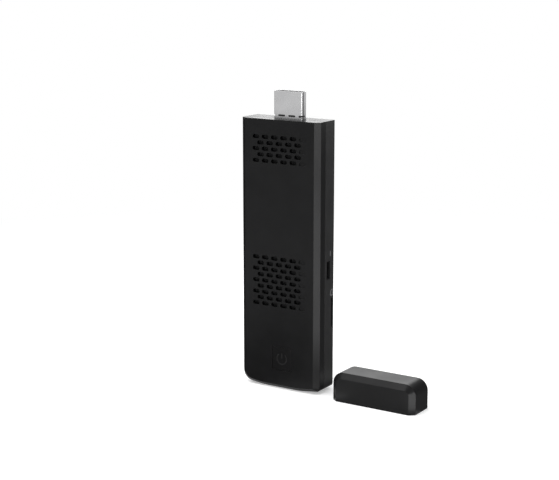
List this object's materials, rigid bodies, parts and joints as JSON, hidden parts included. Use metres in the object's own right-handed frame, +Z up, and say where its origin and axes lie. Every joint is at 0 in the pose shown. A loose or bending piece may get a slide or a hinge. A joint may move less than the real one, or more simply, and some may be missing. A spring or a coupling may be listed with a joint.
{
  "type": "stick computer",
  "caption": "Upright stick computer with a display plug on top, fields of air slots, a power button and the plug's cap standing beside it.",
  "frame": {"origin": "middle of the flat foot that the stick stands on", "axes": "+Z up along the stick towards its plug, -Y towards the front with the slots and the button, +X towards the side with the power inlet and the card slot"},
  "size_m": [0.0855, 0.0151, 0.1281],
  "materials": {
    "gloss_black": "smooth dark gloss",
    "matte_black": "fine matte grain",
    "screen_grey": "fine woven mesh",
    "plug_steel": "bright pressed sheet",
    "connector_black": "moulded",
    "contact_gold": "gold-plated",
    "board_green": "lacquered board",
    "chip_black": "moulded package",
    "chip_can": "pressed can",
    "ceramic": "fired ceramic",
    "pad_grey": "soft pad",
    "spreader_metal": "cast with a fine grain",
    "screw_steel": "turned",
    "fan_black": "moulded",
    "copper": "enamelled wire",
    "ribbon_tan": "flexible film"
  },
  "bodies": {
    "stick": {"front_cover": "gloss_black", "rear_shell": "gloss_black", "slot_screens": "screen_grey", "main_board": "board_green", "board_screws": "screw_steel", "processor": "chip_black", "thermal_pad": "pad_grey", "memory_chips": "chip_black", "storage_chip": "chip_black", "wireless_module": "chip_can", "antenna": "ceramic", "power_controller": "chip_black", "inductors": "chip_black", "capacitors": "ceramic", "clock_crystal": "chip_can", "heat_spreader": "spreader_metal", "spreader_screws": "screw_steel", "fan_housing": "fan_black", "fan_lid": "chip_can", "fan_bearing": "contact_gold", "fan_coil": "copper", "fan_connector": "connector_black", "fan_ribbon": "ribbon_tan", "switch_body": "connector_black", "plug_shell": "plug_steel", "plug_core": "connector_black", "plug_contacts": "contact_gold", "inlet_shell": "plug_steel", "inlet_tongue": "connector_black", "inlet_contacts": "contact_gold", "card_cover": "chip_can", "card_base": "connector_black", "card_contacts": "contact_gold", "socket_shell": "plug_steel", "socket_tongue": "connector_black", "socket_contacts": "contact_gold"},
    "button": {"power_button": "gloss_black", "switch_plunger": "connector_black"},
    "rotor": {"fan_rotor": "fan_black", "fan_shaft": "screw_steel"},
    "cap": {"plug_cap": "gloss_black", "cap_grip": "matte_black"}
  },
  "joints": [
    {"name": "button_press", "type": "slide", "parent": "stick", "child": "button", "axis": [0, 1, 0], "range_m": [0, 0.0003], "stiffness_N_per_m": 2000},
    {"name": "fan_spin", "type": "hinge", "parent": "stick", "child": "rotor", "pos_m": [0, 0, 0.0471], "axis": [0, 1, 0], "continuous": true},
    {"name": "cap_lift", "type": "slide", "parent": "stick", "child": "cap", "axis": [0, 0, 1], "range_m": [0, 0.03]}
  ]
}
